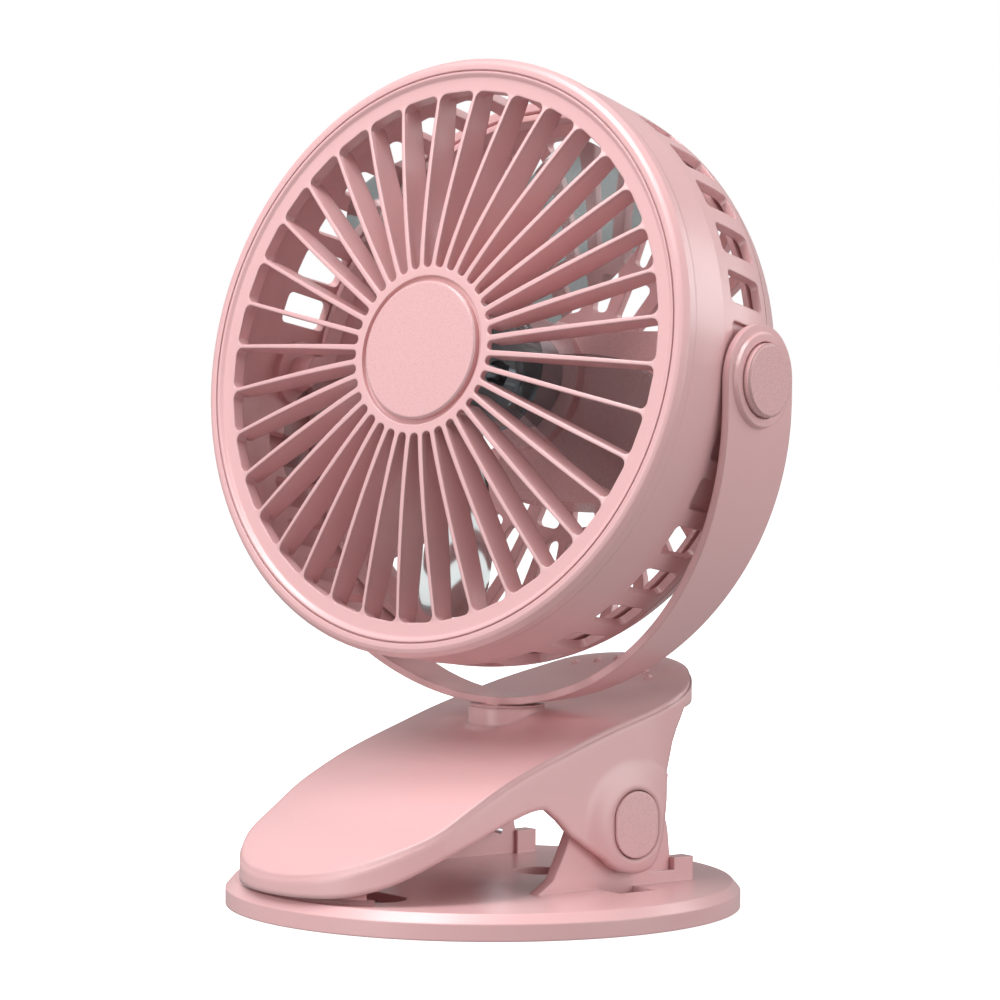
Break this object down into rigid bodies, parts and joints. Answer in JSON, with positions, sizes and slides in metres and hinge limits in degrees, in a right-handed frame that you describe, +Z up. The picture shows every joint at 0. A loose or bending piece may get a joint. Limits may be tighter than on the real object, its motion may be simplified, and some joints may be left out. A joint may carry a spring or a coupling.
{
  "type": "clip fan",
  "caption": "Clip-on desk fan: round grilled head tilts in a U-shaped yoke that swivels on a sprung clip lever hinged to a round weighted base.",
  "frame": {"origin": "centre of the round base, on the underside of its soft foot", "axes": "+Z up; the jaw of the clip opens towards -Y; the hinge pin and the tilt joint of an unturned head lie along X"},
  "size_m": [0.153, 0.1253, 0.2036],
  "materials": {
    "shell": "satin blush pink",
    "trim": "satin blush pink, a shade deeper",
    "smoke": "clear smoky grey",
    "steel": "plain steel",
    "rubber": "soft matt grey-pink",
    "dark": "dark plastic",
    "board": "green circuit board",
    "cell": "wrapped cell",
    "light": "clear light window"
  },
  "bodies": {
    "base": {"base_plate": "shell", "base_weight": "steel", "base_foot": "rubber", "base_jaw_pad": "rubber"},
    "lever": {"clip_lever": "shell", "lever_jaw_pad": "rubber", "hinge_pin_right": "steel", "hinge_pin_left": "steel", "hinge_cap_right": "trim", "hinge_cap_left": "trim", "spring_sleeve_right": "dark", "spring_sleeve_left": "dark", "clip_spring_right": "steel", "clip_spring_left": "steel", "swivel_slip_washer": "dark"},
    "yoke": {"yoke": "shell", "swivel_washer": "steel", "swivel_screw": "steel", "pivot_cap_right": "trim", "pivot_cap_left": "trim"},
    "head": {"drum_case": "shell", "rear_grille": "shell", "front_grille": "shell", "hub_disc": "trim", "motor_pod": "trim", "pod_lid": "trim", "motor_can": "steel", "motor_bearing": "dark", "flat_cell": "cell", "circuit_board": "board", "charge_socket": "steel", "status_light": "light", "pivot_bush_right": "steel", "pivot_bush_left": "steel", "pivot_screw_right": "steel", "pivot_screw_left": "steel"},
    "rotor": {"motor_shaft": "steel", "fan_blades": "smoke", "blade_nut": "dark"},
    "button": {"power_button": "trim"}
  },
  "joints": [
    {"name": "clip_hinge", "type": "hinge", "parent": "base", "child": "lever", "pos_m": [0, 0.018, 0.0215], "axis": [-1, 0, 0], "range_deg": [0, 18], "stiffness_Nm_per_rad": 1.2, "springref_deg": -34.38},
    {"name": "yoke_swivel", "type": "hinge", "parent": "lever", "child": "yoke", "pos_m": [0, 0.007, 0.04772], "axis": [0, 0, 1], "continuous": true},
    {"name": "head_tilt", "type": "hinge", "parent": "yoke", "child": "head", "pos_m": [0, 0.007, 0.12752], "axis": [-0.9703, -0.2419, 0], "range_deg": [-22, 75]},
    {"name": "blade_spin", "type": "hinge", "parent": "head", "child": "rotor", "pos_m": [0, 0.007, 0.12752], "axis": [0.2376, -0.9531, 0.1874], "continuous": true},
    {"name": "button_press", "type": "slide", "parent": "head", "child": "button", "axis": [0.2376, -0.9531, 0.1874], "range_m": [0, 0.0006], "stiffness_N_per_m": 500, "springref_m": -0.0012}
  ]
}
